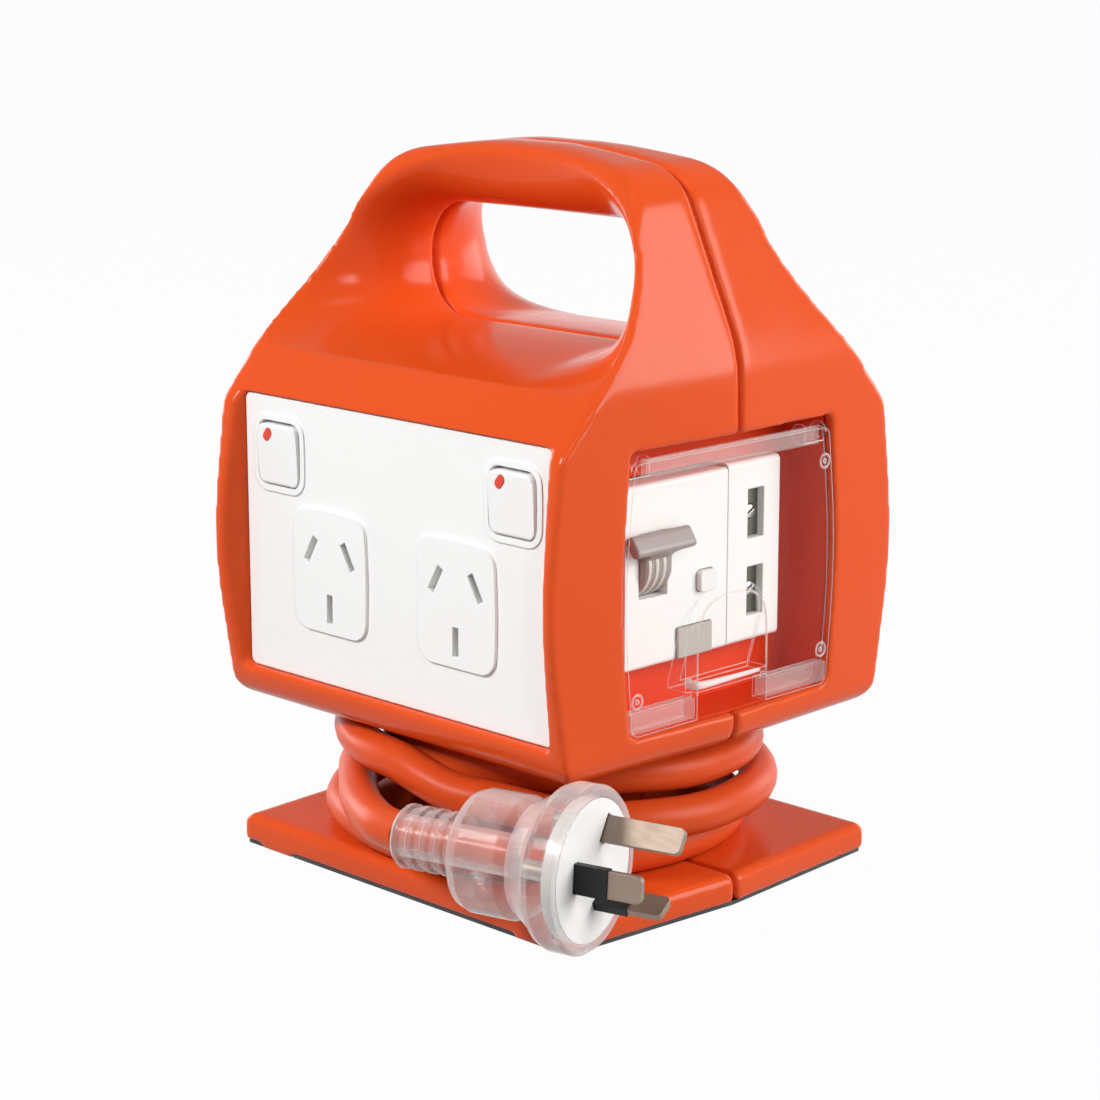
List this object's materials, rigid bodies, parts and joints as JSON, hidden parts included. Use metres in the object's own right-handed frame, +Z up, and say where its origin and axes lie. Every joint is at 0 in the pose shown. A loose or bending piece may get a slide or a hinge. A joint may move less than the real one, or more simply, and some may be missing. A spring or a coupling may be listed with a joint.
{
  "type": "portable power centre",
  "caption": "Portable mains power centre: moulded carry-handle housing, switched outlets on front and rear, breaker behind a clear hinged cover, plug lead wound round its neck",
  "frame": {"origin": "middle of the pad's underside, on the floor", "axes": "+Z up through the handle, -Y out of the front outlets, +X out of the breaker window"},
  "size_m": [0.1533, 0.1407, 0.1829],
  "materials": {
    "housing": "glossy moulded orange plastic with a fine skin",
    "pad": "dark grey foam rubber",
    "steel": "zinc-plated steel",
    "plate": "glossy white plastic",
    "block": "satin white plastic",
    "brass": "plain brass",
    "mark": "red plastic",
    "active_wire": "brown insulation",
    "neutral_wire": "blue insulation",
    "earth_wire": "green and yellow insulation",
    "breaker": "satin off-white plastic",
    "toggle": "satin grey plastic",
    "clear": "clear polycarbonate",
    "cord": "satin orange cord sheath",
    "pin": "nickel-plated brass",
    "sleeve": "black plastic"
  },
  "bodies": {
    "case": {"front_housing": "housing", "rear_housing": "housing", "breaker_pocket": "housing", "base_pad": "pad", "housing_screws": "steel", "front_faceplate": "plate", "rear_faceplate": "plate", "front_socket_block": "block", "rear_socket_block": "block", "front_contacts": "brass", "rear_contacts": "brass", "active_link": "active_wire", "neutral_link": "neutral_wire", "earth_link": "earth_wire", "din_rail": "steel", "breaker_body": "breaker", "breaker_clip": "toggle", "terminal_carrier": "block", "terminal_clamps": "brass", "cord_gland": "cord", "inner_lead": "cord", "cord_winding": "cord", "cord_tail": "cord", "plug_body": "clear", "plug_insert": "plate", "plug_sheath": "cord", "plug_terminals": "brass", "plug_active_pin": "pin", "plug_neutral_pin": "pin", "plug_earth_pin": "pin", "plug_pin_sleeves": "sleeve"},
    "front_left_switch": {"front_left_rocker": "plate", "front_left_mark": "mark"},
    "front_right_switch": {"front_right_rocker": "plate", "front_right_mark": "mark"},
    "rear_left_switch": {"rear_left_rocker": "plate", "rear_left_mark": "mark"},
    "rear_right_switch": {"rear_right_rocker": "plate", "rear_right_mark": "mark"},
    "toggle": {"breaker_toggle": "toggle"},
    "test_key": {"test_button": "toggle"},
    "cover": {"window_cover": "clear"}
  },
  "joints": [
    {"name": "front_left_switch_rock", "type": "hinge", "parent": "case", "child": "front_left_switch", "pos_m": [-0.0417, -0.0495, 0.1057], "axis": [1, 0, 0], "range_deg": [-5, 0]},
    {"name": "front_right_switch_rock", "type": "hinge", "parent": "case", "child": "front_right_switch", "pos_m": [0.0417, -0.0495, 0.1057], "axis": [1, 0, 0], "range_deg": [-5, 0]},
    {"name": "rear_left_switch_rock", "type": "hinge", "parent": "case", "child": "rear_left_switch", "pos_m": [0.0417, 0.0495, 0.1057], "axis": [-1, 0, 0], "range_deg": [-5, 0]},
    {"name": "rear_right_switch_rock", "type": "hinge", "parent": "case", "child": "rear_right_switch", "pos_m": [-0.0417, 0.0495, 0.1057], "axis": [-1, 0, 0], "range_deg": [-5, 0]},
    {"name": "toggle_throw", "type": "hinge", "parent": "case", "child": "toggle", "pos_m": [0.045, -0.0173, 0.08665], "axis": [0, 1, 0], "range_deg": [0, 67]},
    {"name": "test_press", "type": "slide", "parent": "case", "child": "test_key", "axis": [-1, 0, 0], "range_m": [0, 0.0012], "stiffness_N_per_m": 400},
    {"name": "cover_lift", "type": "hinge", "parent": "case", "child": "cover", "pos_m": [0.0576, 0, 0.113], "axis": [0, -1, 0], "range_deg": [0, 95]}
  ]
}
